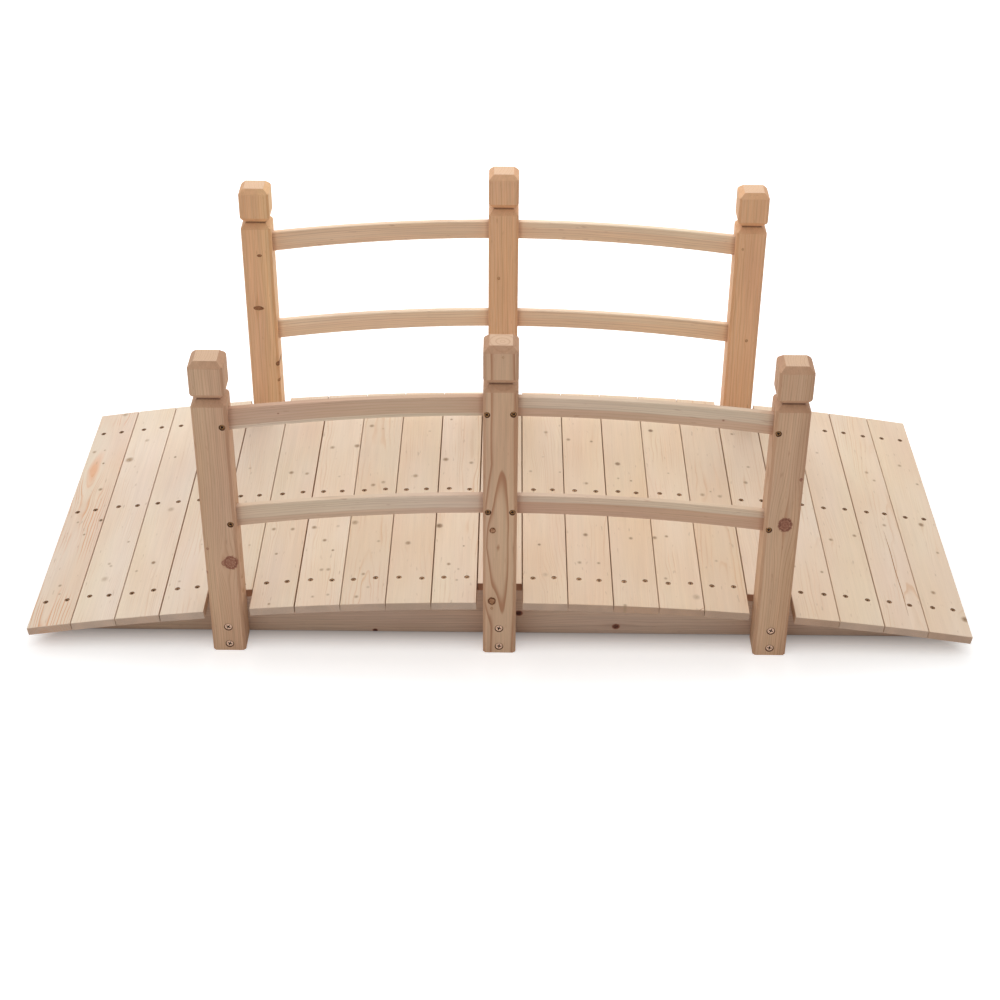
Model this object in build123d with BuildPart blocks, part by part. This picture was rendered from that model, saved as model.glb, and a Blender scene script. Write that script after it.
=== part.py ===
from build123d import *
import math
import os

# A small arched garden bridge of plain softwood. Three beams with arched tops carry the
# cross planks, and six square posts stand outside the beams and carry curved rails.
# Length runs along X, width along Y, height along Z, near side at -Y. The origin is on
# the ground under the middle of the bridge. All sizes are in millimetres.

# Deck planks
plank_width = 70.6
plank_gap = 1.0
plank_thickness = 13.5
plank_edge = 0.7
planks_per_bay = 6
planks_past_post = 4

# Beams
arch_radius = 4768.0
beam_end_height = 27.0
beam_end_inset = 8.0
beam_thickness = 32.0
beam_outer_width = 552.0
beam_edge = 1.5

# Posts
post_size = 52.0
post_above_deck = 454.0
post_edge = 4.0
cap_chamfer = 9.0
cap_face = 43.5
groove_width = 21.0
groove_depth = 10.0
post_top_radius = 3100.0

# Rails, which end in mortises in the posts
rail_height = 32.0
rail_thickness = 12.0
rail_top_radius = 3270.0
rail_bottom_radius = 2910.0
rail_drop = 109.5
rail_spacing = 173.0
rail_edge = 1.5
tenon_length = 16.0
mortise_play = 0.3

# Places worked out from the sizes above
last_plank = planks_per_bay + planks_past_post
plank_angle = (plank_width + plank_gap) / arch_radius
plank_length = beam_outer_width + 2 * post_size
deck_radius = arch_radius + plank_thickness
deck_end_x = deck_radius * math.sin((last_plank + 0.5) * plank_angle)
beam_end_x = deck_end_x - beam_end_inset
beam_height = beam_end_height + arch_radius - math.sqrt(arch_radius**2 - beam_end_x**2)
arch_center_z = beam_height - arch_radius
post_x = deck_radius * math.sin(planks_per_bay * plank_angle)
post_y = (beam_outer_width + post_size) / 2
post_height = beam_height + plank_thickness + post_above_deck
beam_y = (beam_outer_width - beam_thickness) / 2

# Rows of like pieces, by side, by place along the bridge and by height
sides = {"near": -1, "far": 1}
post_places = {"left": -post_x, "middle": 0, "right": post_x}
bays = {"left": (-post_x, 0), "right": (0, post_x)}
rail_heights = {"upper": post_height - rail_drop, "lower": post_height - rail_drop - rail_spacing}


def side_plane(x, y):
    """Upright plane at y, seen from the near side, with its zero on the ground at x."""
    return Plane(origin=(x, y, 0), x_dir=(1, 0, 0), z_dir=(0, -1, 0))


def end_plane(x, y):
    """Upright plane across the bridge at x, with its zero on the ground at y."""
    return Plane(origin=(x, y, 0), x_dir=(0, 1, 0), z_dir=(1, 0, 0))


def sag(x, radius):
    """Drop at x from the middle of a curve that is level in the middle of the bridge."""
    return radius - math.sqrt(radius**2 - x**2)


def beam_outline():
    """Beam seen from the side: flat underside, blunt ends, arched top."""
    with BuildSketch() as outline:
        with BuildLine():
            Polyline(
                (-beam_end_x, beam_end_height),
                (-beam_end_x, 0),
                (beam_end_x, 0),
                (beam_end_x, beam_end_height),
            )
            ThreePointArc(
                (beam_end_x, beam_end_height),
                (0, beam_height),
                (-beam_end_x, beam_end_height),
            )
        make_face()
    return outline.sketch


def post_outline(height):
    """Post seen from any side: straight shaft, V groove, plain cap and bevelled top."""
    half = post_size / 2
    reach = groove_width / 2
    neck_z = height - cap_chamfer - cap_face - reach
    with BuildSketch() as outline:
        with BuildLine():
            Polyline(
                (0, 0),
                (half, 0),
                (half, neck_z - reach),
                (half - groove_depth, neck_z),
                (half, neck_z + reach),
                (half, height - cap_chamfer),
                (half - cap_chamfer, height),
                (0, height),
                close=True,
            )
        make_face()
        mirror(about=Plane.YZ)
    return outline.sketch


def rail_outline(x_from, x_to, middle_z, height):
    """Curved strip between two upright ends, a little deeper away from the middle post."""
    stations = (x_from, (x_from + x_to) / 2, x_to)
    top = [(x, middle_z + height / 2 - sag(x, rail_top_radius)) for x in stations]
    bottom = [(x, middle_z - height / 2 - sag(x, rail_bottom_radius)) for x in stations]
    with BuildSketch() as outline:
        with BuildLine():
            ThreePointArc(*top)
            Line(top[2], bottom[2])
            ThreePointArc(*bottom)
            Line(bottom[0], top[0])
        make_face()
    return outline.sketch


def make_beam(y):
    """One of the three beams that the planks lie on."""
    with BuildPart() as beam:
        with BuildSketch(side_plane(0, y)):
            add(beam_outline())
        extrude(amount=beam_thickness / 2, both=True)
        chamfer(beam.edges().group_by(Axis.Z)[0].filter_by(Axis.X), beam_edge)
    return beam


def make_plank(index):
    """One cross plank, tangent to the arch, cut short where it meets a pair of posts."""
    angle = index * plank_angle
    seat = (arch_radius * math.sin(angle), 0, arch_center_z + arch_radius * math.cos(angle))
    along = (math.cos(angle), 0, -math.sin(angle))
    meets_posts = abs(index) in (0, planks_per_bay)
    length = beam_outer_width if meets_posts else plank_length
    with BuildPart() as plank:
        with BuildSketch(Plane(origin=seat, x_dir=along, z_dir=(0, -1, 0))):
            Rectangle(plank_width, plank_thickness, align=(Align.CENTER, Align.MIN))
        extrude(amount=length / 2, both=True)
        chamfer(plank.faces().sort_by(Axis.Z)[-1].edges(), plank_edge)
    return plank


def make_post(x, y):
    """One post, with a mortise in each face that a rail runs into."""
    height = post_height - sag(x, post_top_radius)
    half = post_size / 2
    with BuildPart() as post:
        with BuildSketch(side_plane(x, y)):
            add(post_outline(height))
        extrude(amount=half, both=True)
        with BuildSketch(end_plane(x, y)):
            add(post_outline(height))
        extrude(amount=half, both=True, mode=Mode.INTERSECT)
        with BuildSketch(Plane(origin=(x, y, 0))) as section:
            Rectangle(post_size, post_size)
            chamfer(section.vertices(), post_edge)
        extrude(amount=height, mode=Mode.INTERSECT)
        for bay_from, bay_to in bays.values():
            if x not in (bay_from, bay_to):
                continue
            face = 1 if x == bay_from else -1
            mouth_x = x + face * post_size
            floor_x = x + face * (half - tenon_length - mortise_play)
            for middle_z in rail_heights.values():
                with BuildSketch(side_plane(0, y)):
                    add(rail_outline(floor_x, mouth_x, middle_z, rail_height + 2 * mortise_play))
                extrude(amount=rail_thickness / 2 + mortise_play, both=True, mode=Mode.SUBTRACT)
    return post


def make_rail(bay_from, bay_to, y, middle_z):
    """One curved rail, with both ends housed in the posts' mortises."""
    reach = post_size / 2 - tenon_length
    with BuildPart() as rail:
        with BuildSketch(side_plane(0, y)):
            add(rail_outline(bay_from + reach, bay_to - reach, middle_z, rail_height))
        extrude(amount=rail_thickness / 2, both=True)
        chamfer(rail.edges().filter_by(GeomType.CIRCLE), rail_edge)
    return rail


def save(piece, label):
    """Name a finished piece and write it to a file of its own."""
    piece.part.label = label
    export_step(piece.part, f"parts/{label}.step")


os.makedirs("parts", exist_ok=True)

for place, y in {"near": -beam_y, "middle": 0, "far": beam_y}.items():
    save(make_beam(y), f"beam_{place}")

for index in range(-last_plank, last_plank + 1):
    save(make_plank(index), f"plank_{index + last_plank + 1:02d}")

for side, sign in sides.items():
    for place, x in post_places.items():
        save(make_post(x, sign * post_y), f"post_{side}_{place}")
    for bay, (bay_from, bay_to) in bays.items():
        for level, middle_z in rail_heights.items():
            rail = make_rail(bay_from, bay_to, sign * post_y, middle_z)
            save(rail, f"rail_{side}_{bay}_{level}")
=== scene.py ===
import math
import random

import bmesh
import bpy
from mathutils import Matrix, Vector


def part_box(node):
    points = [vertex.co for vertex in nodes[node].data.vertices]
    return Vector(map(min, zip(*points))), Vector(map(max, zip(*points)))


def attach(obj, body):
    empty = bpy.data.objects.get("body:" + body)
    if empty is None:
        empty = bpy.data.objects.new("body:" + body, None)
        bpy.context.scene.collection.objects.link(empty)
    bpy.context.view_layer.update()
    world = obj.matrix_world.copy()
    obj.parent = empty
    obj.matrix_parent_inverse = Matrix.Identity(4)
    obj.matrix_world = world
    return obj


bl_info = {
    "name": "Garden moon bridge",
    "version": (1, 0, 0),
    "blender": (4, 5, 0),
    "location": "View3D > Sidebar > Bridge",
    "description": "Dresses the packed moon bridge in plain softwood, with its screws and a studio",
    "category": "Object",
}

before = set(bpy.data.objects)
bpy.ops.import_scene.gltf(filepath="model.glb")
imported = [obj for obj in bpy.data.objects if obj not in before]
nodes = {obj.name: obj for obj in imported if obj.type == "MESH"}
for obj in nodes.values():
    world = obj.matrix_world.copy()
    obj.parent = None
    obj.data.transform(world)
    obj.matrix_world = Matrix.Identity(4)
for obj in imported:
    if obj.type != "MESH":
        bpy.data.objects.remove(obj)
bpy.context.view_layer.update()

MM = 0.001

# Sizes repeated from the CAD source, in metres.
ARCH_RADIUS = 4768.0 * MM
PLANK_THICKNESS = 13.5 * MM
BEAM_ROWS = (-0.260, 0.0, 0.260)
RAIL_Z = {"upper": 443.2 * MM, "lower": 270.2 * MM}
RAIL_RADIUS = 3100.0 * MM
NECK_BELOW_TOP = 63.0 * MM

PLANKS = range(1, 22)
MIDDLE_PLANK = 11
SHORT_PLANKS = (5, MIDDLE_PLANK, 17)

UP = Vector((0, 0, 1))
RIGHT = Vector((1, 0, 0))
FAR = Vector((0, 1, 0))
NEAR = Vector((0, -1, 0))

# Every board has its own space: across its face, along its grain, and out from its face.
# Across is to the right on a plank or post and upwards on a rail or beam; along is to the
# far side on a plank, upwards on a post and to the right on a rail or beam. The tables
# below are in millimetres in that space, judged from each board.

# Knots: (across, along, radius, colour), colour from 0, as the wood round it, to 1, black.
# A fifth number makes a flat knot that many times wider and as many times lower.
PLANK_KNOTS = {
    1: [(-25, 198, 4.1, 0.4), (-6, 200, 2.2, 0.4), (0, 154, 2.2, 0.7), (11, 66, 4.1, 0.5),
        (-10, -33, 2.7, 0.4), (9, -74, 2.4, 0.5), (31, -35, 3.2, 0.85), (-3, -219, 3.2, 0.45),
        (1, -243, 2.4, 0.35), (11, 322, 6.1, 0.35)],
    2: [(-2, 218, 4.6, 0.32), (-24, 156, 7.3, 0.48), (3, -178, 3.2, 0.3), (-1, -171, 3.2, 0.35),
        (-1, -214, 6.8, 0.28), (21, -111, 2.7, 0.4)],
    3: [(-11, 149, 2.7, 0.5), (8, -23, 6.2, 0.32), (3, -180, 3.8, 0.6), (-22, -200, 3.0, 0.35)],
    4: [(-16, -240, 3.0, 0.3), (6, -138, 2.4, 0.25), (12, 160, 2.7, 0.3)],
    5: [(-12, 90, 3.2, 0.3), (16, -150, 2.7, 0.3)],
    6: [(-8, 67, 4.6, 0.5), (20, 61, 4.1, 0.42), (-20, -107, 4.1, 0.45), (12, -110, 4.1, 0.45),
        (-8, -180, 3.0, 0.5), (-5, -318, 2.7, 0.45)],
    7: [(-24, -108, 4.3, 0.5), (16, -107, 3.5, 0.3), (-3, -147, 3.8, 0.5), (13, -177, 2.7, 0.5),
        (-1, -231, 3.8, 0.38), (10, -231, 3.8, 0.4), (-9, -304, 3.0, 0.35),
        (15, -300, 3.0, 0.35), (-14, 144, 4.9, 0.4), (30, 146, 5.4, 0.5), (6, 47, 2.7, 0.3)],
    8: [(-28, -98, 5.9, 0.45), (15, -155, 3.5, 0.32), (-4, -247, 3.5, 0.42),
        (6, -283, 3.2, 0.3), (-11, -308, 3.8, 0.4), (12, 24, 4.1, 0.42), (-5, 16, 4.3, 0.48),
        (-20, 213, 4.6, 0.5), (1, 202, 2.4, 0.3)],
    9: [(-8, -162, 4.9, 0.48), (-5, 42, 5.1, 0.42), (14, 190, 2.7, 0.3)],
    10: [(-30, -113, 5.7, 0.65), (-11, -223, 3.5, 0.5), (5, -237, 2.4, 0.35),
         (3, -267, 2.7, 0.35), (12, -172, 1.9, 0.5), (-26, 94, 5.4, 0.5), (19, 83, 4.1, 0.42),
         (-20, 230, 2.7, 0.5)],
    11: [(8, 120, 3.2, 0.4)],
    12: [(-8, -166, 2.7, 0.6), (1, -250, 5.9, 0.25), (7, 188, 4.1, 0.4), (1, 105, 2.7, 0.25),
         (-21, 57, 3.2, 0.35), (30, 56, 2.2, 0.4)],
    13: [(-25, 165, 4.1, 0.45), (16, 161, 3.0, 0.48), (3, 23, 3.8, 0.42), (-3, -134, 4.3, 0.55),
         (16, -214, 3.2, 0.42), (-15, -214, 3.8, 0.4)],
    14: [(-12, 90, 4.9, 0.62), (9, 37, 2.4, 0.5), (-13, 43, 2.7, 0.35), (0, -139, 3.8, 0.45),
         (-18, -326, 3.4, 0.42)],
    15: [(-19, 208, 4.3, 0.7), (4, 68, 2.7, 0.3), (-12, -128, 3.2, 0.48),
         (-32, -134, 4.3, 0.5), (-21, -248, 3.2, 0.4), (25, -294, 6.8, 0.32)],
    16: [(-13, 6, 4.6, 0.4), (17, 5, 4.3, 0.38), (2, 18, 2.4, 0.35), (-6, -190, 3.2, 0.3)],
    17: [(-14, 216, 3.2, 0.42), (5, 108, 3.5, 0.38), (-5, 56, 4.3, 0.45), (9, -160, 2.7, 0.3)],
    18: [(21, 82, 3.2, 0.4), (20, 39, 3.2, 0.4), (24, -196, 3.2, 0.42), (-21, -187, 3.2, 0.4)],
    19: [(-19, -98, 3.8, 0.48), (24, -78, 3.8, 0.48), (-6, 180, 3.0, 0.35)],
    20: [(6, 132, 3.8, 0.42), (16, 108, 3.2, 0.4), (11, -34, 3.8, 0.42)],
    21: [(7, -17, 5.0, 0.58), (21, -98, 3.2, 0.4), (-9, -218, 4.3, 0.48), (32, -282, 6.5, 0.6),
         (1, 171, 3.8, 0.42), (24, 115, 3.2, 0.4)],
}

# Grain: (pith across, pith depth below the face, lean across and lean in depth for each
# millimetre along, ring width, strength of the rings).
PLANK_GRAIN = {
    1: (-13, 7, 0.05, 0.1, 3.8, 0.72),
    2: (-60, 30, 0.02, 0.02, 3.4, 0.3),
    5: (-80, 40, -0.02, 0.02, 3.6, 0.3),
    8: (4, 20, -0.02, 0.03, 4.2, 0.4),
    10: (12, 26, 0.01, -0.02, 4.4, 0.5),
    16: (2, 24, 0.01, 0.03, 4.4, 0.42),
    20: (20, 34, 0.03, 0.02, 3.8, 0.42),
}

# How cool and how light each plank is beside the others, from plank 1 at the left end.
PLANK_COOL = (0.9, 1.0, 1.0, 0.9, 0.8, 0.5, 0.7, 0.4, 0.3, 0.5, 0.4,
              0.2, 0.1, 0.0, 0.1, 0.0, 0.3, 0.45, 0.4, 0.5, 0.5)
PLANK_LIGHT = (1.0, 1.02, 1.02, 1.01, 1.0, 0.99, 1.01, 0.98, 0.99, 1.01, 1.0,
               1.0, 1.0, 0.99, 1.0, 0.98, 1.0, 1.01, 1.0, 1.0, 1.0)

# How red each plank's sawn end is.
PLANK_RED_ENDS = (0.4, 0.1, 0.3, 0.0, 0.0, 0.1, 0.1, 0.2, 0.3, 0.0, 0.0,
                  0.3, 0.5, 1.0, 0.9, 0.6, 0.5, 0.9, 0.2, 0.3, 0.7)

# How much painted shade darkens each joint, standing for the shadow in its gap, from the left end of
# the deck to the right end.
JOINT_SHADES = (0.0, 0.3, 0.2, 0.6, 0.5, 0.1, 0.7, 0.0, 0.1, 0.5, 0.7,
          0.5, 0.2, 0.3, 0.0, 0.1, 0.5, 0.5, 0.1, 0.4, 0.1, 0.0)

POST_KNOTS = {
    "near_left": [(14, 171, 10.0, 0.66), (4, 170, 4.4, 0.55), (-20, 197, 1.8, 0.5),
                  (-25, 151, 2.0, 0.5)],
    "near_middle": [(-11, 236, 4.2, 0.9), (-12, 102, 5.6, 1.0), (-12, 88, 2.0, 0.6),
                    (3, 538, 1.6, 0.4)],
    "near_right": [(4, 251, 10.0, 0.74), (21, 333, 2.4, 0.6)],
    "far_left": [(4, 400, 2.8, 0.76, 1.4), (-4, 297, 5.2, 0.76, 1.6), (24, 184, 3.6, 0.85),
                 (24, 150, 2.4, 0.6)],
    "far_middle": [(-8, 360, 2.4, 0.5)],
    "far_right": [(6, 240, 2.4, 0.5), (-14, 420, 2.0, 0.4)],
}
POST_GRAIN = {
    "near_left": (-74, 26, 0.01, 0.01, 3.3, 0.62),
    "near_middle": (-4, 11, 0.0465, 0.0643, 8.0, 0.95),
    "near_right": (58, 20, 0.012, 0.0, 3.6, 0.6),
    "far_left": (70, 30, 0.01, 0.02, 4.6, 0.46),
    "far_middle": (-64, 30, 0.0, 0.02, 4.8, 0.46),
    "far_right": (-60, 46, 0.0, 0.02, 4.4, 0.46),
}

BEAM_GRAIN = {
    "near": (150, 50, 0.01, 0.02, 5.2, 0.4),
    "middle": (162, 50, 0.01, 0.02, 5.2, 0.4),
    "far": (174, 50, 0.01, 0.02, 5.2, 0.4),
}

# How far the pith runs below the middle of the first rail, and how much further below the
# middle of each next one.
RAIL_PITH = 90
RAIL_PITH_STEP = 6

# A pith leans away from a place along its board, both ways and as far as a reach:
# (place, reach). Most lean from one end to the other. Two boards were sawn where the trunk
# swelled, and lean away from the middle of the swelling.
PLANK_LEAN = (-328.0, 2000.0)
BEAM_LEAN = (-750.0, 2000.0)
POST_LEAN = (0.0, 2000.0)
FIRST_PLANK_LEAN = (134, 84)
MIDDLE_POST_LEAN = (204, 152)

# How far from the pith the heartwood ends, in metres. Most boards have none.
NO_HEART = -1.0
FIRST_PLANK_HEART = 11.5 * MM
POST_HEART = {"near_right": 56.0 * MM, "far_left": 76.0 * MM}

# The rails' two tones: (height of the line between them above the rail's middle, its
# softness, redness above it, redness below it), redness from 0 to 1.
RAIL_TONES = {
    "near_left_upper": (-10.0, 1.6, 0.62, 0.1),
    "near_left_lower": (-5.5, 2.4, 0.12, 0.55),
    "near_right_upper": (-1.0, 1.2, 0.0, 0.7),
    "near_right_lower": (6.5, 1.4, 0.15, 0.85),
    "far_left_upper": (-6.0, 4.0, 0.45, 0.75),
    "far_left_lower": (4.0, 4.0, 0.0, 0.45),
    "far_right_upper": (6.0, 4.0, 0.1, 0.7),
    "far_right_lower": (2.0, 4.0, 0.3, 0.7),
}
RAIL_KNOTS = {
    "near_right_upper": [(-2, 330, 2.0, 0.4)],
    "near_left_upper": [(3, -330, 1.6, 0.4)],
}
BEAM_KNOTS = {
    "near": [(40, 31, 5.4, 0.9), (15, 188, 5.4, 0.8), (3, -201, 3.6, 0.85)],
    "middle": [(30, -90, 5.0, 0.5)],
    "far": [(38, 120, 5.0, 0.5)],
}

# Drying cracks, each a line of (across, along) points, with their size in metres.
CRACK_WIDTH = 1.7 * MM
CRACK_DEPTH = 2.2 * MM
PLANK_CRACKS = {
    15: [[(23.0, -333), (29.0, -327), (36.5, -320)]],
    20: [[(7.0, -53), (8.2, -110), (7.6, -170), (9.0, -230), (8.4, -292)]],
}

# Where the photograph shows a plank without its pair of screws: (plank, row).
NO_SCREWS = ((16, 1),)

# Screws in a near post: (across, height), the ones at the rails first, then those in its foot,
# below FOOT_HEIGHT. The far posts have theirs at the same places on their outer faces.
FOOT_HEIGHT = 100
POST_SCREWS = {
    "left": [(18.6, 415), (18.7, 242), (1.0, 46), (1.0, 13)],
    "middle": [(-20.5, 441), (19.0, 442), (-18.5, 269), (19.0, 269), (-0.5, 48), (-0.3, 12.5)],
    "right": [(-20.0, 413), (-20.0, 241), (-0.6, 48), (0.0, 14)],
}

# The cross in each kind of screw: how far its arms reach and half their width, as shares
# of the head's radius.
CROSSES = {"deck": (0.68, 0.22), "rail": (0.78, 0.3), "foot": (0.66, 0.16)}

# The wood of a board, where its own operator says nothing else: lengths in metres, and
# the painted shade of a neck groove and of rail ends too far off to show.
PLAIN_WOOD = {
    "heart_edge": NO_HEART,
    "heart_soft": 1.0 * MM,
    "streaks": 0.28,
    "flecks": 0.3,
    "bevels": 0.1,
    "neck": -9.0,
    "first_end": -9.0,
    "last_end": 9.0,
}
WOOD_COLOURS = ("pale", "ring", "heart", "knot_edge", "knot_heart", "end_tint", "joint")

# The studio, in metres: where its softboxes hang, how wide they are and where they aim, and
# how far out the floor turns from the painted shade under the deck to white, along X and along Y.
KEY_LAMP = ("Overhead softbox", 1.4, (0.05, 1.6, 1.7))
FILL_LAMP = ("Front softbox", 2.4, (-1.3, -3.3, 1.9))
LAMP_AIM = (0.0, 0.0, 0.15)
FLOOR_RADIUS = 14.0
SHADE_END_X = (0.66, 0.76)
SHADE_END_Y = (0.24, 0.33)

# The ceiling's light, in degrees: how wide it spreads and how it is turned.
CEILING_SPREAD = 100
CEILING_TURN = (-4, -5, 0)

# The photograph's view: place in metres, angles in degrees, lens and sensor in millimetres.
CAMERA_PLACE = (0.01143, -2.73335, 1.87791)
CAMERA_YAW = -0.2772
CAMERA_PITCH = -33.400
CAMERA_ROLL = 0.3767
CAMERA_LENS = 68.59
CAMERA_SENSOR = 36.0


def colour(name, description, red, green, blue):
    """A colour setting, given as it looks on a screen from 0 to 255."""
    return bpy.props.FloatVectorProperty(
        name=name,
        description=description,
        subtype="COLOR_GAMMA",
        size=3,
        min=0.0,
        max=1.0,
        default=(red / 255, green / 255, blue / 255),
    )


def length(name, description, millimetres):
    """A size setting in scene units, given in millimetres."""
    return bpy.props.FloatProperty(
        name=name,
        description=description,
        default=millimetres * MM,
        min=0.0,
        subtype="DISTANCE",
        unit="LENGTH",
        precision=4,
    )


def amount(name, description, value):
    """A plain number setting that can't be negative."""
    return bpy.props.FloatProperty(name=name, description=description, default=value, min=0.0)


class BridgeTimber(bpy.types.PropertyGroup):
    """Colours of each piece's wood, and how far the edges are eased"""

    deck_warm: colour("Warm deck wood", "Early wood of the warmest planks", 232, 208, 181)
    deck_cool: colour("Cool deck wood", "Early wood of the palest planks", 232, 214, 194)
    deck_ring: colour("Deck rings", "Late wood of the planks", 210, 166, 124)
    first_ring: colour("First plank rings", "Late wood of the reddish end plank", 214, 150, 104)
    first_heart: colour("First plank heartwood", "Reddest part of that plank", 230, 180, 146)
    post_pale: colour("Post wood", "Early wood of the near posts", 216, 179, 147)
    post_ring: colour("Post rings", "Late wood of the near posts", 170, 114, 82)
    post_heart: colour("Post heartwood", "Redder side of a near post", 204, 164, 132)
    far_post_pale: colour("Warm post wood", "Early wood of the far posts", 238, 194, 156)
    far_post_ring: colour("Warm post rings", "Late wood of the far posts", 206, 146, 96)
    far_post_heart: colour("Warm post heartwood", "Yellower side of a far post", 239, 198, 154)
    rail_pale: colour("Rail wood", "Paler tone of the rails", 231, 210, 187)
    rail_red: colour("Rail heartwood", "Redder tone of the rails", 206, 164, 136)
    rail_ring: colour("Rail rings", "Late wood of the rails", 176, 130, 98)
    far_rail_pale: colour("Far rail wood", "Paler tone of the far rails", 248, 225, 197)
    far_rail_red: colour("Far rail heartwood", "Redder tone of the far rails", 239, 204, 172)
    beam_pale: colour("Beam wood", "Early wood of the beams", 219, 191, 169)
    beam_ring: colour("Beam rings", "Late wood of the beams", 156, 112, 86)
    deck_knot: colour("Deck knot", "Wood stained by a knot in a plank", 172, 144, 116)
    deck_knot_dark: colour("Deck knot heart", "Darkest part of a plank's knot", 84, 62, 46)
    post_knot: colour("Post knot", "Wood stained by a knot in a post", 160, 106, 84)
    post_knot_dark: colour("Post knot heart", "Darkest part of a post's knot", 70, 38, 30)
    brown_knot: colour("Brown knot", "Wood stained by a small knot in a post", 170, 118, 82)
    brown_knot_dark: colour("Brown knot heart", "Darkest part of such a knot", 74, 42, 26)
    # Painted shade: the planks' sides in the darker joints are coloured dark to stand for the shadow
    # in those gaps.
    deck_joint: colour("Deck joints", "Shaded sides of the planks in the darker joints", 152, 98, 52)
    # Partly painted shade: the ends behind the posts sit in shadow, and their sawn-end tint is
    # darker to stand for it.
    short_end: colour("Short plank ends", "Sawn ends of the planks behind the posts", 168, 112, 80)
    plank_end: colour("Plank ends", "Tint of the planks' sawn ends", 196, 170, 151)
    red_end: colour("Redder plank ends", "Tint of the reddest sawn ends", 184, 148, 124)
    post_end: colour("Post tops", "Tint of the posts' sawn tops", 224, 190, 160)
    plank_round: length("Plank edges", "Rounding of the planks' edges", 0.3)
    post_round: length("Post edges", "Rounding of the other edges", 0.45)


class BridgeScrews(bpy.types.PropertyGroup):
    """Sizes, places and colours of the screws and of the holes they sit in"""

    deck_head: length("Deck head", "Head diameter of the deck screws", 7.0)
    rail_head: length("Rail head", "Head diameter of the screws at the rails", 7.2)
    foot_head: length("Foot head", "Head diameter of the screws in the posts' feet", 11.2)
    deck_sink: length("Deck sink", "How far a deck screw sits below the wood", 0.7)
    rail_sink: length("Rail sink", "How far a rail screw sits below the wood", 1.3)
    foot_sink: length("Foot sink", "How far a foot screw sits below the wood", 0.8)
    deck_gap: length("Deck hole", "Bare ring of a deck screw's hole", 0.35)
    rail_gap: length("Rail hole", "Bare ring of a rail screw's hole", 1.1)
    foot_gap: length("Foot hole", "Bare ring of a foot screw's hole", 0.6)
    offset: length("Row offset", "Deck screw from the middle of its plank", 17.0)
    wander: length("Wander", "How far a deck screw strays from its place", 2.4)
    deck_metal: colour("Deck screw metal", "Bronze coating of the deck screws", 168, 130, 96)
    post_metal: colour("Post screw metal", "Brassy coating of the posts' screws", 196, 142, 90)
    foot_metal: colour("Foot screw metal", "Paler coating of the feet's screws", 244, 204, 176)
    # Partly painted shade: a hole's wall is dark wood, darkened further to stand for the shadow in
    # the hole.
    bored_wood_and_shade: colour("Bored wood", "Burnt wall of a screw's hole", 92, 58, 38)
    split_wood: colour("Split wood", "Inside of a drying crack", 164, 112, 68)
    # Painted shade: the inside of a screw's cross is coloured dark to stand for the shadow in it.
    recess: colour("Recess", "Dark inside of a screw's cross", 50, 30, 19)


class BridgeStage(bpy.types.PropertyGroup):
    """Colours of the floor and strengths of the studio's lights"""

    floor_colour: colour("Floor", "Pale studio floor", 250, 250, 250)
    # Painted shade: the floor under the deck is coloured dark brown to stand for the shade there,
    # seen through the deck's gaps.
    under_colour: colour("Floor underneath", "Floor seen through the deck's gaps", 120, 90, 66)
    floor_glow: amount("Floor glow", "Light that the camera sees in the floor", 0.4)
    even_light: amount("Even light", "Strength of the wide light from above", 1.3)
    key_power: amount("Key lamp", "Power of the overhead softbox in watts", 22.5)
    fill_power: amount("Fill lamp", "Power of the front softbox in watts", 8.6)
    room_light: amount("Room light", "Strength of the even light all round", 0.3)


def timber():
    """The wood's settings."""
    return bpy.context.scene.bridge_timber


def screws():
    """The screws' settings."""
    return bpy.context.scene.bridge_screws


def linear(tone):
    """A screen colour as the linear colour that a shader takes."""
    values = [c / 12.92 if c <= 0.04045 else ((c + 0.055) / 1.055) ** 2.4 for c in tone]
    return (*values, 1.0)


def between(first, second, share):
    """A screen colour part of the way from one colour to another."""
    return tuple(a + (b - a) * share for a, b in zip(first, second))


def dimmed(tone, share):
    """A screen colour made darker, or lighter where share is over 1."""
    return tuple(value * share for value in tone)


# Node helpers. Most of them add one node to a node tree and return its result.


def set_inputs(tree, node, values):
    """Set or link the inputs named in values."""
    for key, value in values.items():
        socket = node.inputs[key]
        if isinstance(value, bpy.types.NodeSocket):
            tree.links.new(value, socket)
        else:
            socket.default_value = value


def add_node(tree, kind, values=None, **options):
    """Add a node with its options and inputs."""
    node = tree.nodes.new(kind)
    for option, value in options.items():
        setattr(node, option, value)
    set_inputs(tree, node, values or {})
    return node


def calc(tree, operation, *values):
    """One step of arithmetic."""
    inputs = dict(enumerate(values))
    return add_node(tree, "ShaderNodeMath", inputs, operation=operation).outputs[0]


def times(tree, first, second):
    """Two numbers multiplied."""
    return calc(tree, "MULTIPLY", first, second)


def times_plus(tree, first, second, third):
    """Two numbers multiplied, and a third added."""
    return calc(tree, "MULTIPLY_ADD", first, second, third)


def vector_calc(tree, operation, *values):
    """One step of vector arithmetic."""
    inputs = dict(enumerate(values))
    node = add_node(tree, "ShaderNodeVectorMath", inputs, operation=operation)
    return node.outputs["Value" if operation in ("DOT_PRODUCT", "LENGTH") else "Vector"]


def scaled(tree, vector, share):
    """A vector made longer or shorter."""
    values = {0: vector, "Scale": share}
    return add_node(tree, "ShaderNodeVectorMath", values, operation="SCALE").outputs["Vector"]


def dot(tree, first, second):
    """How much of one vector lies along another."""
    return vector_calc(tree, "DOT_PRODUCT", first, second)


def centred(tree, cloud):
    """A noise colour as a vector that strays evenly both ways."""
    return vector_calc(tree, "SUBTRACT", cloud, (0.5, 0.5, 0.5))


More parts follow.
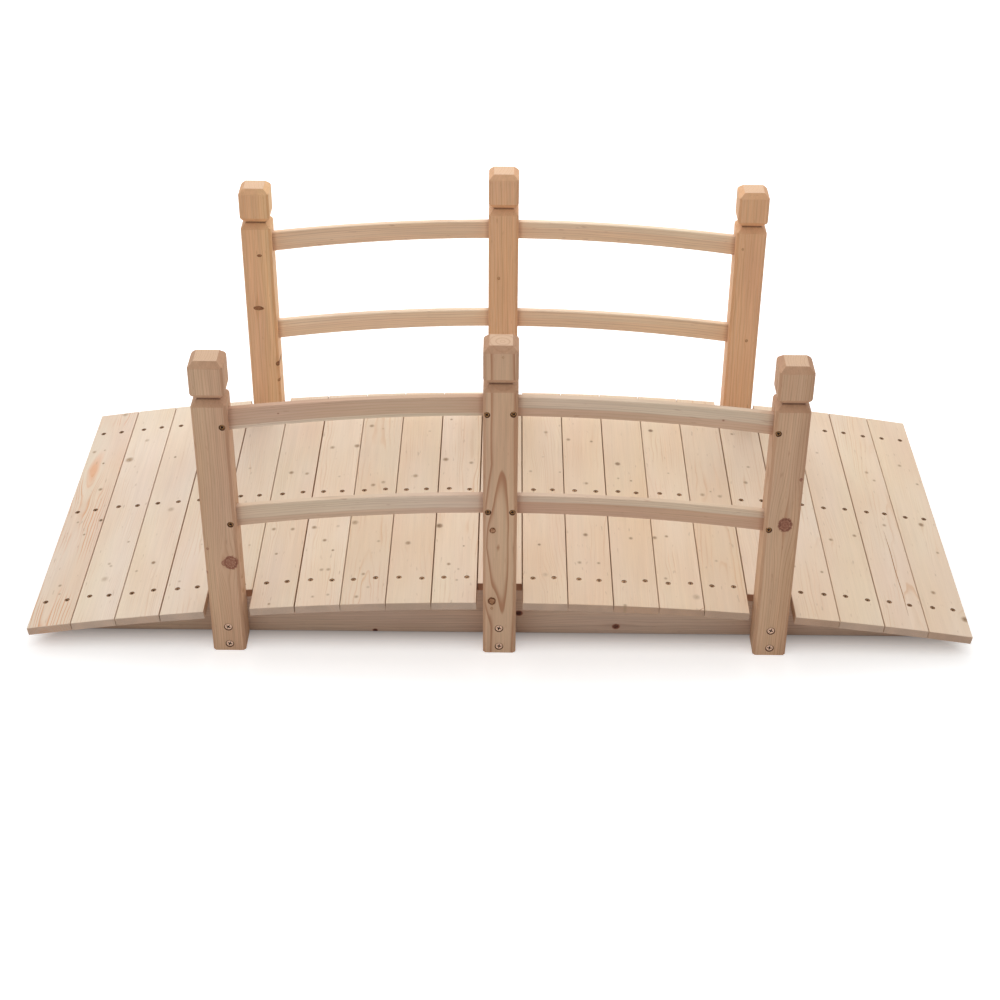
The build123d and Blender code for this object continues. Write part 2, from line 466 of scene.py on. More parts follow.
def ramp(tree, value, low, high, to_low=0.0, to_high=1.0):
    """A smooth step from one value to another."""
    values = {"Value": value, "From Min": low, "From Max": high, "To Min": to_low, "To Max": to_high}
    node = add_node(tree, "ShaderNodeMapRange", values, interpolation_type="SMOOTHSTEP")
    return node.outputs["Result"]


def blend_colours(tree, factor, first, second):
    """Mix two colours."""
    values = {0: factor, 6: first, 7: second}
    return add_node(tree, "ShaderNodeMix", values, data_type="RGBA").outputs[2]


def noise(tree, place, scale, detail, rough=0.5):
    """Noise of one size all ways."""
    values = {"Vector": place, "Scale": scale, "Detail": detail, "Roughness": rough}
    return add_node(tree, "ShaderNodeTexNoise", values).outputs


def stretched_noise(tree, place, scale, detail=2.0, rough=0.5):
    """Noise in the board's own space, drawn out along the grain."""
    return noise(tree, vector_calc(tree, "MULTIPLY", place, scale), 1.0, detail, rough)


def in_piece(tree):
    """Where a point of the surface is in its own piece."""
    return add_node(tree, "ShaderNodeTexCoord").outputs["Object"]


def along_board(tree, place):
    """The part of a place on a board that lies along it."""
    return add_node(tree, "ShaderNodeSeparateXYZ", {0: place}).outputs["Y"]


def finish_surface(tree, values):
    """Close a material with a shader that has these inputs."""
    shader = add_node(tree, "ShaderNodeBsdfPrincipled", values).outputs[0]
    add_node(tree, "ShaderNodeOutputMaterial", {"Surface": shader})


def new_group(name, inputs, outputs):
    """An empty node group, and its input and output nodes. Sockets are named by kind."""
    tree = bpy.data.node_groups.new(name, "ShaderNodeTree")
    for in_out, sockets in (("INPUT", inputs), ("OUTPUT", outputs)):
        for kind, names in sockets.items():
            for socket in names:
                tree.interface.new_socket(socket, in_out=in_out, socket_type="NodeSocket" + kind)
    entry = tree.nodes.new("NodeGroupInput").outputs
    leave = tree.nodes.new("NodeGroupOutput").inputs
    return tree, entry, leave


def use_group(tree, maker, **values):
    """Put a shared node group, built the first time it is asked for, into a material.

    A value such as ring_width goes to the input named Ring Width.
    """
    if maker.__name__ not in bpy.data.node_groups:
        maker()
    node = tree.nodes.new("ShaderNodeGroup")
    node.node_tree = bpy.data.node_groups[maker.__name__]
    inputs = {key.replace("_", " ").title(): value for key, value in values.items()}
    set_inputs(tree, node, inputs)
    return node.outputs


def new_material(name):
    """An empty node material and its tree."""
    material = bpy.data.materials.new(name)
    material.use_nodes = True
    material.node_tree.nodes.clear()
    return material, material.node_tree


# Wood: rings round a leaning pith, knots that push the grain aside, fibres and sawn ends.


def board_space():
    """Place on a board. Bow bends the grain of a board whose edges are curved."""
    tree, entry, leave = new_group(
        "board_space",
        {"Vector": ("Corner", "Across", "Along", "Out"), "Float": ("Bow", "Seed")},
        {"Vector": ("Place", "Sample")},
    )
    offset = vector_calc(tree, "SUBTRACT", in_piece(tree), entry["Corner"])
    across = dot(tree, offset, entry["Across"])
    along = dot(tree, offset, entry["Along"])
    out = dot(tree, offset, entry["Out"])
    across = times_plus(tree, times(tree, along, along), entry["Bow"], across)
    place = add_node(tree, "ShaderNodeCombineXYZ", {"X": across, "Y": along, "Z": out}).outputs[0]
    shift = scaled(tree, (3.1, 7.7, 5.3), entry["Seed"])
    tree.links.new(place, leave["Place"])
    tree.links.new(vector_calc(tree, "ADD", place, shift), leave["Sample"])


def knot():
    """A knot that darkens the wood and pushes the grain round itself."""
    tree, entry, leave = new_group(
        "knot",
        {"Vector": ("Here", "Place", "Middle", "Shape"),
         "Float": ("Mark", "Size", "Colour", "Rim", "Fill", "Ragged")},
        {"Vector": ("Place",), "Float": ("Mark",)},
    )
    # How far off the knot is, in its own radii.
    offset = vector_calc(tree, "SUBTRACT", entry["Here"], entry["Middle"])
    near = vector_calc(tree, "LENGTH", vector_calc(tree, "MULTIPLY", offset, entry["Shape"]))
    away = calc(tree, "DIVIDE", near, entry["Size"])
    away = times_plus(tree, entry["Ragged"], 0.7, away)

    # The grain bends aside round the knot, over a greater length than width.
    long = vector_calc(tree, "LENGTH", vector_calc(tree, "MULTIPLY", offset, (1.0, 0.3, 0.1)))
    reach = calc(tree, "DIVIDE", long, entry["Size"])
    fall = calc(tree, "EXPONENT", times(tree, times(tree, reach, reach), -0.24))
    pull = vector_calc(tree, "MULTIPLY", offset, (0.88, 0.0, 0.0))
    pull = scaled(tree, pull, fall)
    tree.links.new(vector_calc(tree, "SUBTRACT", entry["Place"], pull), leave["Place"])

    # A filled middle with faint rings, a line round it and a stain in the wood about it.
    edge = times_plus(tree, entry["Rim"], -0.4, 1.6)
    core = times_plus(tree, entry["Rim"], 0.6, 0.15)
    body = times(tree, ramp(tree, away, core, edge, 1.0, 0.0), entry["Fill"])
    rim = times(tree, ramp(tree, away, 0.5, 0.92), ramp(tree, away, 0.92, 1.3, 1.0, 0.0))
    rim = times(tree, rim, entry["Rim"])
    ripple = times(tree, calc(tree, "SINE", times(tree, away, 17.0)), 0.13)
    ripple = times(tree, times(tree, ripple, entry["Rim"]), body)
    shade = calc(tree, "ADD", calc(tree, "MAXIMUM", body, rim), ripple)
    shade = times(tree, shade, times_plus(tree, entry["Ragged"], 1.1, 1.0))
    stain_and_shade = times(tree, fall, 0.16)
    mark = times(tree, calc(tree, "MAXIMUM", shade, stain_and_shade), entry["Colour"])
    tree.links.new(calc(tree, "MAXIMUM", entry["Mark"], mark), leave["Mark"])


def growth():
    """Distance from the pith, with the slow wander of a real trunk."""
    tree, entry, leave = new_group(
        "growth",
        {"Vector": ("Place", "Sample", "Pith", "Lean"),
         "Float": ("Turn", "Reach", "Wander", "Waver")},
        {"Float": ("Radius",)},
    )
    # The pith leans away from the place where it turns.
    along = along_board(tree, entry["Place"])
    past = calc(tree, "ABSOLUTE", calc(tree, "SUBTRACT", along, entry["Turn"]))
    past = calc(tree, "MINIMUM", past, entry["Reach"])
    lean = scaled(tree, entry["Lean"], past)
    pith = vector_calc(tree, "ADD", entry["Pith"], lean)

    # The rings stray from round, slowly and in small waves.
    bent = entry["Place"]
    for scale, strength in (((5.0, 4.0, 5.0), "Wander"), ((60.0, 14.0, 60.0), "Waver")):
        stray = centred(tree, stretched_noise(tree, entry["Sample"], scale, 1.0)["Color"])
        bent = vector_calc(tree, "ADD", bent, scaled(tree, stray, entry[strength]))
    across = vector_calc(tree, "SUBTRACT", bent, pith)
    flat = vector_calc(tree, "MULTIPLY", across, (1.0, 0.0, 1.0))
    tree.links.new(vector_calc(tree, "LENGTH", flat), leave["Radius"])


def softwood():
    """Colour and roughness of planed softwood."""
    tree, entry, leave = new_group(
        "softwood",
        {"Vector": ("Place", "Sample", "Across", "Along", "Out"),
         "Color": ("Pale", "Ring", "Heart", "Knot Edge", "Knot Heart", "End Tint", "Joint"),
         "Float": ("Radius", "Mark", "Heart Edge", "Heart Soft", "Ring Width", "Figure", "Even",
                   "Patchy", "Streaks", "Flecks", "Bevels", "Left Joint", "Right Joint", "Neck",
                   "First End", "Last End")},
        {"Color": ("Colour",), "Float": ("Roughness",)},
    )
    sample = entry["Sample"]

    # Uneven yearly rings, each darkening slowly to its late wood and ending sharply.
    count = calc(tree, "DIVIDE", entry["Radius"], entry["Ring Width"])
    uneven = add_node(
        tree,
        "ShaderNodeTexNoise",
        {"W": times(tree, count, 0.23), "Scale": 1.0, "Detail": 1.0},
        noise_dimensions="1D",
    ).outputs[0]
    count = times_plus(tree, uneven, 2.4, count)
    phase = calc(tree, "FRACT", count)
    year = {"W": calc(tree, "FLOOR", count)}
    year = add_node(tree, "ShaderNodeTexWhiteNoise", year, noise_dimensions="1D").outputs[0]
    rise = calc(tree, "POWER", ramp(tree, phase, 0.5, 0.9), 2.0)
    late = times(tree, rise, ramp(tree, phase, 0.92, 1.0, 1.0, 0.0))
    weight = times_plus(tree, year, 0.75, 0.25)
    fair = times(tree, calc(tree, "SUBTRACT", 0.85, weight), entry["Even"])
    late = times(tree, late, calc(tree, "ADD", weight, fair))

    # Noises drawn out along the grain, from fine to broad.
    fibre = stretched_noise(tree, sample, (750.0, 16.0, 750.0), 3.0, 0.6)[0]
    bands = stretched_noise(tree, sample, (170.0, 5.0, 170.0), 2.0)[0]
    clouds = stretched_noise(tree, sample, (14.0, 3.2, 14.0), 2.0)
    specks = stretched_noise(tree, sample, (240.0, 46.0, 240.0), 1.0)[0]

    # Rings come and go in patches.
    patch = stretched_noise(tree, sample, (22.0, 7.0, 22.0), 2.0)[0]
    patch = calc(tree, "SUBTRACT", ramp(tree, patch, 0.42, 0.66, 0.12, 1.7), 1.0)
    patch = times_plus(tree, patch, entry["Patchy"], 1.0)
    late = times(tree, late, patch)

    # Which way the surface faces on its board. The late wood fades on eased edges.
    facing = add_node(tree, "ShaderNodeNewGeometry").outputs["Normal"]
    end = calc(tree, "ABSOLUTE", dot(tree, facing, entry["Along"]))
    sideways = dot(tree, facing, entry["Across"])
    side = calc(tree, "ABSOLUTE", sideways)
    face = calc(tree, "ABSOLUTE", dot(tree, facing, entry["Out"]))
    slant = ramp(tree, calc(tree, "ADD", end, calc(tree, "ADD", side, face)), 1.14, 1.36)
    late = times(tree, late, times_plus(tree, slant, -0.75, 1.0))

    # Planed wood: early wood, heartwood and late wood, then streaks, clouds and flecks.
    share = ramp(tree, clouds[0], 0.3, 0.75, 0.0, 0.2)
    wood = blend_colours(tree, share, entry["Pale"], entry["Ring"])
    heart = calc(tree, "SUBTRACT", entry["Radius"], entry["Heart Edge"])
    heart = ramp(tree, calc(tree, "DIVIDE", heart, entry["Heart Soft"]), -0.5, 0.5, 1.0, 0.0)
    wood = blend_colours(tree, heart, wood, entry["Heart"])
    wood = blend_colours(tree, times(tree, late, entry["Figure"]), wood, entry["Ring"])
    thin = calc(tree, "SUBTRACT", fibre, 0.5)
    wide = calc(tree, "SUBTRACT", bands, 0.5)
    swing = times_plus(tree, wide, 0.8, times(tree, thin, 0.9))
    wood = scaled(tree, wood, times_plus(tree, swing, entry["Streaks"], 1.0))
    shift = vector_calc(tree, "MULTIPLY", centred(tree, clouds["Color"]), (0.06, 0.05, 0.16))
    wood = vector_calc(tree, "MULTIPLY", wood, vector_calc(tree, "ADD", shift, (1.0, 1.0, 1.0)))
    speck = times(tree, ramp(tree, specks, 0.68, 0.8), entry["Flecks"])
    wood = blend_colours(tree, speck, wood, entry["Knot Edge"])

    # Eased edges, and painted shade on the sides of the joints beside a plank, standing for the
    # shadow in those gaps.
    wood = blend_colours(tree, times(tree, slant, entry["Bevels"]), wood, entry["Ring"])
    left = times(tree, ramp(tree, sideways, -0.65, -0.35, 1.0, 0.0), entry["Left Joint"])
    right = times(tree, ramp(tree, sideways, 0.35, 0.65), entry["Right Joint"])
    wood = blend_colours(tree, calc(tree, "ADD", left, right), wood, entry["Joint"])

    # Sawn ends, with open pores and faint rings.
    end = ramp(tree, end, 0.78, 0.94)
    pores = stretched_noise(tree, sample, (700.0, 700.0, 700.0), 2.0)[0]
    sawn = times_plus(tree, pores, 0.34, 0.73)
    sawn = times_plus(tree, patch, 0.1, sawn)
    sawn = scaled(tree, entry["End Tint"], sawn)
    sawn = blend_colours(tree, times(tree, late, 0.28), sawn, entry["Ring"])
    wood = blend_colours(tree, times(tree, end, 0.85), wood, sawn)

    # Knots.
    warm = ramp(tree, entry["Mark"], 0.02, 0.55)
    dark = ramp(tree, entry["Mark"], 0.35, 1.0)
    wood = blend_colours(tree, warm, wood, entry["Knot Edge"])
    wood = blend_colours(tree, dark, wood, entry["Knot Heart"])

    # Painted shade: a dark line in a post's neck groove, and darker wood where a rail goes into its
    # posts.
    along = along_board(tree, entry["Place"])
    from_neck = calc(tree, "ABSOLUTE", calc(tree, "SUBTRACT", along, entry["Neck"]))
    neck_shade = times_plus(tree, pores, 0.0016, from_neck)
    neck_shade = ramp(tree, neck_shade, 0.0012, 0.0034, 0.62, 0.0)
    wood = blend_colours(tree, neck_shade, wood, entry["Knot Heart"])
    past_first = calc(tree, "SUBTRACT", along, entry["First End"])
    before_last = calc(tree, "SUBTRACT", entry["Last End"], along)
    inside = calc(tree, "MINIMUM", past_first, before_last)
    # Painted shade: the wood darkens towards the ends where a rail goes into its posts.
    stain_and_shade = ramp(tree, inside, 0.0, 0.009, 0.35, 0.0)
    wood = blend_colours(tree, stain_and_shade, wood, entry["Knot Edge"])

    # Fibres and sawn ends are the roughest.
    rough = times_plus(tree, fibre, 0.16, 0.62)
    rough = times_plus(tree, end, 0.15, rough)
    tree.links.new(wood, leave["Colour"])
    tree.links.new(rough, leave["Roughness"])


def wood_material(
    name, board, grain, knots=(), seed=0.0, lean=POST_LEAN, wander=12.0, waver=2.2, bow=0.0,
    rim=0.0, fill=1.0, **look
):
    """Solid softwood for one board: rings about its own pith, with its own knots.

    board is (corner, across, along, out), lean is (place, reach), and wander and waver are
    how far the rings stray, slowly and quickly, in millimetres. bow bends the grain, rim
    draws a line round each knot and fill darkens its middle. look holds the other inputs of
    the wood, its colours as they look on a screen.
    """
    corner, across, along, out = board
    pith_across, pith_depth, lean_across, lean_depth, ring_width, figure = grain
    turn, reach = lean
    material, tree = new_material(name)
    space = use_group(
        tree, board_space, corner=corner, across=across, along=along, out=out, bow=bow, seed=seed
    )
    here = space["Place"]
    sample = space["Sample"]
    ragged = stretched_noise(tree, sample, (420.0, 300.0, 120.0), 2.0)[0]
    ragged = calc(tree, "SUBTRACT", ragged, 0.5)
    place = here
    mark = 0.0
    for knot_across, knot_along, knot_radius, knot_colour, *flat in knots:
        wide = flat[0] if flat else 1.0
        made = use_group(
            tree, knot, here=here, place=place, mark=mark, rim=rim, fill=fill, ragged=ragged,
            middle=(knot_across * MM, knot_along * MM, 0.0), size=knot_radius * MM,
            shape=(1.0 / wide, 0.85 * wide, 0.1), colour=knot_colour,
        )
        place = made["Place"]
        mark = made["Mark"]
    rings = use_group(
        tree, growth, place=place, sample=sample, turn=turn * MM, reach=reach * MM,
        pith=(pith_across * MM, 0.0, -pith_depth * MM), lean=(lean_across, 0.0, -lean_depth),
        wander=wander * MM, waver=waver * MM,
    )
    for key in WOOD_COLOURS:
        if key in look:
            look[key] = linear(look[key])
    wood = use_group(
        tree, softwood, place=here, sample=sample, across=across, along=along, out=out,
        radius=rings["Radius"], mark=mark, ring_width=ring_width * MM, figure=figure,
        **{**PLAIN_WOOD, **look},
    )
    fibres = stretched_noise(tree, here, (700.0, 15.0, 700.0), 1.0, 0.6)[0]
    relief = {"Height": fibres, "Strength": 0.35, "Distance": 0.0004}
    finish_surface(
        tree,
        {
            "Base Color": wood["Colour"],
            "Roughness": wood["Roughness"],
            "Specular IOR Level": 0.22,
            "Normal": add_node(tree, "ShaderNodeBump", relief).outputs[0],
        },
    )
    return material


def dress(node_name, material, rounding, cutter=None):
    """Give a CAD piece its finish, eased edges and countersunk holes."""
    piece = nodes[node_name]
    piece.data.materials.clear()
    piece.data.materials.append(material)
    weld = piece.modifiers.new("Join split edges", "WELD")
    weld.merge_threshold = 0.02 * MM
    ease = piece.modifiers.new("Eased edges", "BEVEL")
    ease.width = rounding
    ease.segments = 2
    ease.limit_method = "ANGLE"
    ease.angle_limit = math.radians(28)
    if cutter:
        cut = piece.modifiers.new("Countersinks", "BOOLEAN")
        cut.operation = "DIFFERENCE"
        cut.solver = "EXACT"
        cut.material_mode = "TRANSFER"
        cut.object = cutter
    flat = piece.modifiers.new("Flat faces", "WEIGHTED_NORMAL")
    flat.keep_sharp = False
    for face in piece.data.polygons:
        face.use_smooth = True


# Screws: countersunk heads with a cross recess, in holes cut into the wood.


def screw_size(kind):
    """Head radius, depth below the wood and bare ring of hole, for a kind of screw."""
    made = screws()
    head, sink, gap = [getattr(made, f"{kind}_{part}") for part in ("head", "sink", "gap")]
    return head / 2, sink, gap


def screw_turn(out, twist):
    """Turn that points a screw's head along out and twists its cross."""
    aim = Vector(out).to_track_quat("Z", "Y").to_matrix().to_4x4()
    return aim @ Matrix.Rotation(twist, 4, "Z")


def ring_of_points(mesh, radius, height, steps=24):
    """A level circle of new points."""
    made = []
    for step in range(steps):
        angle = 2 * math.pi * step / steps
        made.append(mesh.verts.new((radius * math.cos(angle), radius * math.sin(angle), height)))
    return made


def join_rows(mesh, rows):
    """Faces between each row of points and the next."""
    made = []
    for upper, lower in zip(rows, rows[1:]):
        for i in range(len(upper)):
            j = (i + 1) % len(upper)
            made.append(mesh.faces.new((upper[i], lower[i], lower[j], upper[j])))
    return made


def add_screw(mesh, place, out, kind, twist):
    """Add one sunk screw; place is on the wood's face."""
    radius, sink = screw_size(kind)[:2]
    cross, width = CROSSES[kind]
    rim = ring_of_points(mesh, radius * 0.93, 0.0)
    edge = ring_of_points(mesh, radius, -radius * 0.09)
    neck = ring_of_points(mesh, radius * 0.45, -radius * 0.75)
    shank = ring_of_points(mesh, radius * 0.42, -radius * 1.9)
    arm = radius * cross
    slot = radius * width
    corners = [
        (slot, slot), (slot, arm), (-slot, arm), (-slot, slot), (-arm, slot), (-arm, -slot),
        (-slot, -slot), (-slot, -arm), (slot, -arm), (slot, -slot), (arm, -slot), (arm, slot),
    ]
    mouth = [mesh.verts.new((x, y, 0.0)) for x, y in corners]
    floor = [mesh.verts.new((x * 0.62, y * 0.62, -radius * 0.42)) for x, y in corners]
    join_rows(mesh, (rim, edge, neck, shank))
    mesh.faces.new(shank)
    # Painted shade: the cross's walls and floor take the dark recess colour.
    for face in join_rows(mesh, (mouth, floor)) + [mesh.faces.new(floor)]:
        face.material_index = 1
    outline = []
    for loop in (rim, mouth):
        for i in range(len(loop)):
            outline.append(mesh.edges.get((loop[i - 1], loop[i])))
    bmesh.ops.triangle_fill(mesh, edges=outline, use_beauty=True)
    turn = Matrix.Translation(place - out * sink) @ screw_turn(out, twist)
    made = [*rim, *edge, *neck, *shank, *mouth, *floor]
    bmesh.ops.transform(mesh, matrix=turn, verts=made)


def add_hole(mesh, place, out, kind):
    """Add the cutter for one countersunk hole; place is on the wood's face."""
    radius, sink, gap = screw_size(kind)
    radius += gap
    profile = (
        (radius * 1.16, 1.5 * MM),
        (radius * 1.16, 0.1 * MM),
        (radius, -0.18 * MM),
        (radius, -sink * 0.9),
        (radius * 0.5, -sink - radius * 0.9),
        (radius * 0.5, -sink - radius * 2.1),
    )
    rows = [ring_of_points(mesh, reach, height) for reach, height in profile]
    join_rows(mesh, rows)
    mesh.faces.new(rows[0])
    mesh.faces.new(rows[-1])
    turn = Matrix.Translation(place) @ screw_turn(out, 0.0)
    bmesh.ops.transform(mesh, matrix=turn, verts=[point for row in rows for point in row])


def add_crack(mesh, board, points):
    """Add the cutter for a drying crack that follows points (across, along) on a face."""
    corner, across, along, out = board
    rows = []
    for index, (step_across, step_along) in enumerate(points):
        middle = corner + across * (step_across * MM) + along * (step_along * MM)
        at_tip = index in (0, len(points) - 1)
        half = across * (CRACK_WIDTH / 2 * (0.25 if at_tip else 1.0))
        below = out * (-CRACK_DEPTH * (0.4 if at_tip else 1.0))
        above = out * (0.8 * MM)
        rows.append([mesh.verts.new(p) for p in (
            middle - half + above, middle + half + above, middle + half * 0.3 + below,
            middle - half * 0.3 + below,
        )])
    walls = [*join_rows(mesh, rows), mesh.faces.new(rows[0]), mesh.faces.new(rows[-1])]
    for face in walls:
        face.material_index = 1


def mesh_object(name, mesh):
    """Turn working geometry into an object."""
    bmesh.ops.recalc_face_normals(mesh, faces=mesh.faces)
    data = bpy.data.meshes.new(name)
    mesh.to_mesh(data)
    mesh.free()
    piece = bpy.data.objects.new(name, data)
    bpy.context.scene.collection.objects.link(piece)
    return piece


def raw_wood(name):
    """Rough wood that was never planed: the wall of a hole or of a crack."""
    if name in bpy.data.materials:
        return bpy.data.materials[name]
    tone = getattr(screws(), name)
    material, tree = new_material(name)
    fuzz = noise(tree, in_piece(tree), 900.0, 2.0)[0]
    mixed = blend_colours(tree, fuzz, linear(tone), linear(between(tone, (1.0, 1.0, 1.0), 0.12)))
    finish_surface(tree, {"Base Color": mixed, "Roughness": 0.9, "Specular IOR Level": 0.1})
    return material


def hidden_cutter(name, mesh):
    """A shape that only cuts holes and cracks, and never shows, but colours their walls."""
    cutter = mesh_object(name, mesh)
    # The holes' wall colour is partly painted shade.
    for wall in ("bored_wood_and_shade", "split_wood"):
        cutter.data.materials.append(raw_wood(wall))
    cutter.hide_render = True
    cutter.hide_viewport = True
    return cutter


def coated_steel(name, tone, metallic):
    """Coated steel, a little uneven."""
    material, tree = new_material(name)
    patches = noise(tree, in_piece(tree), 700.0, 3.0)[0]
    worn = ramp(tree, patches, 0.4, 0.7)
    finish_surface(
        tree,
        {
            "Base Color": blend_colours(tree, worn, linear(tone), linear(dimmed(tone, 0.8))),
            "Metallic": metallic,
            "Roughness": ramp(tree, patches, 0.3, 0.8, 0.4, 0.6),
            "Specular IOR Level": 0.2,
        },
    )
    return material


def drive_screws(name, places, kind, draw, tone, metallic):
    """Make one piece of the screws at these (place, out), each turned its own way."""
    mesh = bmesh.new()
    for place, out in places:
        add_screw(mesh, place, out, kind, draw.uniform(0, math.pi / 2))
    piece = mesh_object(name, mesh)
    piece.data.materials.append(coated_steel(name + "_metal", tone, metallic))
    # The second slot is painted shade for the cross recess.
    piece.data.materials.append(coated_steel(name + "_recess", screws().recess, 0.0))
    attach(piece, "root")


# Where things are.


def plank_name(number):
    """The node of a plank, counted from the left end."""
    return f"plank_{number:02d}"


def plank_board(number):
    """A plank's board space, from the middle of its top face."""
    low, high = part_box(plank_name(number))
    angle = math.asin((low.x + high.x) / 2 / (ARCH_RADIUS + PLANK_THICKNESS / 2))
    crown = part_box(plank_name(MIDDLE_PLANK))[1].z
    top = ARCH_RADIUS + PLANK_THICKNESS
    middle = Vector((top * math.sin(angle), 0.0, crown - top + top * math.cos(angle)))
    across = Vector((math.cos(angle), 0, -math.sin(angle)))
    return middle, across, FAR, Vector((math.sin(angle), 0, math.cos(angle)))


def deck_screw_places():
    """(plank, row, place on the top face, upward normal) of every deck screw."""
    draw = random.Random(7)
    stray = screws().wander
    found = []
    for number in PLANKS:
        middle, across, along, up = plank_board(number)
        for row, row_y in enumerate(BEAM_ROWS):
            if (number, row) in NO_SCREWS:
                continue
            for side in (-1, 1):
                place = middle + across * (side * screws().offset + draw.uniform(-stray, stray))
                place.y = row_y + draw.uniform(-stray, stray)
                found.append((number, row, place, up))
    return found


def post_screw_places():
    """(post, place on its outer face, outward normal, kind) of every post screw."""
    found = []
    for side, out in (("near", NEAR), ("far", FAR)):
        for place_name, spots in POST_SCREWS.items():
            post = f"post_{side}_{place_name}"
            low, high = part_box(post)
            middle_x = (low.x + high.x) / 2
            face_y = low.y if side == "near" else high.y
            for across, height in spots:
                kind = "foot" if height < FOOT_HEIGHT else "rail"
                place = Vector((middle_x + across * MM, face_y, height * MM))
                found.append((post, place, out, kind))
    return found


class BRIDGE_OT_planks(bpy.types.Operator):
    """Give every plank its own softwood, eased edges and countersunk holes"""

    bl_idname = "bridge.planks"
    bl_label = "Finish planks"

    def execute(self, context):
        tones = timber()
        draw = random.Random(21)
        places = deck_screw_places()
        for number in PLANKS:
            first = number == PLANKS[0]
            board = plank_board(number)
            holes = bmesh.new()
            for owner, row, place, up in places:
                if owner == number:
                    add_hole(holes, place, up, "deck")
            for crack in PLANK_CRACKS.get(number, []):
                add_crack(holes, board, crack)
            usual = (
                draw.choice((-1, 1)) * draw.uniform(30, 110),
                draw.uniform(30, 80),
                draw.uniform(-0.02, 0.02),
                draw.uniform(-0.03, 0.03),
                draw.uniform(2.8, 4.2),
                draw.uniform(0.2, 0.38),
            )
            pale = between(tones.deck_warm, tones.deck_cool, PLANK_COOL[number - 1])
            end = between(tones.plank_end, tones.red_end, PLANK_RED_ENDS[number - 1])
            material = wood_material(
                f"deck_wood_{number:02d}",
                board,
                PLANK_GRAIN.get(number, usual),
                PLANK_KNOTS[number],
                seed=number * 1.37,
                lean=FIRST_PLANK_LEAN if first else PLANK_LEAN,
                waver=4.5,
                pale=dimmed(pale, PLANK_LIGHT[number - 1]),
                ring=tones.first_ring if first else tones.deck_ring,
                heart=tones.first_heart,
                heart_edge=FIRST_PLANK_HEART if first else NO_HEART,
                heart_soft=8.0 * MM,
                knot_edge=tones.deck_knot,
                knot_heart=tones.deck_knot_dark,
                # Partly painted shade: the short planks' ends take a darker tint for the shadow they
                # sit in.
                end_tint=tones.short_end if number in SHORT_PLANKS else end,
                # Painted shade on this plank's sides in the darker joints.
                joint=tones.deck_joint,
                left_joint=JOINT_SHADES[number - 1],
                right_joint=JOINT_SHADES[number],
                patchy=1.0,
                streaks=0.15,
                flecks=0.35,
            )
            cutter = hidden_cutter(f"cutter_plank_{number:02d}", holes)
            dress(plank_name(number), material, tones.plank_round, cutter)
        return {"FINISHED"}


class BRIDGE_OT_beams(bpy.types.Operator):
    """Give the three beams their wood"""

    bl_idname = "bridge.beams"
    bl_label = "Finish beams"

    def execute(self, context):
        tones = timber()
        for index, (place, grain) in enumerate(BEAM_GRAIN.items()):
            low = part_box(f"beam_{place}")[0]
            material = wood_material(
                f"beam_wood_{place}",
                (Vector((0, low.y, 0)), UP, RIGHT, NEAR),
                grain,
                BEAM_KNOTS[place],
                seed=40.0 + index,
                lean=BEAM_LEAN,
                rim=0.4,
                pale=tones.beam_pale,
                ring=tones.beam_ring,
                knot_edge=tones.post_knot,
                knot_heart=tones.post_knot_dark,
                end_tint=tones.plank_end,
                streaks=0.4,
            )
            dress(f"beam_{place}", material, tones.post_round)
        return {"FINISHED"}


class BRIDGE_OT_posts(bpy.types.Operator):
    """Give the six posts their wood, eased edges and countersunk holes"""

    bl_idname = "bridge.posts"
    bl_label = "Finish posts"

    def execute(self, context):
        tones = timber()
        places = post_screw_places()
        for index, (key, knots) in enumerate(POST_KNOTS.items()):
            name = f"post_{key}"
            low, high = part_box(name)
            far = key.startswith("far")
            middle = key == "near_middle"
            small_knots = far or middle
            holes = bmesh.new()
            for owner, place, out, kind in places:
                if owner == name:
                    add_hole(holes, place, out, kind)
            material = wood_material(
                f"post_wood_{key}",
                (Vector(((low.x + high.x) / 2, low.y, 0)), RIGHT, UP, NEAR),
                POST_GRAIN[key],
                knots,
                seed=60.0 + index * 1.9,
                lean=MIDDLE_POST_LEAN if middle else POST_LEAN,
                wander=6.0,
                waver=4.4 if far else 2.2,
                rim=0.9,
                fill=0.46 if middle else 0.7,
                even=0.9 if middle else 0.2,
                pale=tones.far_post_pale if far else tones.post_pale,
                ring=tones.far_post_ring if far else tones.post_ring,
                heart=tones.far_post_heart if far else tones.post_heart,
                heart_edge=POST_HEART.get(key, NO_HEART),
                heart_soft=16.0 * MM,
                knot_edge=tones.brown_knot if small_knots else tones.post_knot,
                knot_heart=tones.brown_knot_dark if small_knots else tones.post_knot_dark,
                end_tint=tones.post_end,
                streaks=0.4,
                bevels=0.3,
                # Painted shade: a dark line along the neck groove at this height.
                neck=high.z - NECK_BELOW_TOP,
            )
            cutter = hidden_cutter(f"cutter_{name}", holes)
            dress(name, material, tones.post_round, cutter)
        return {"FINISHED"}


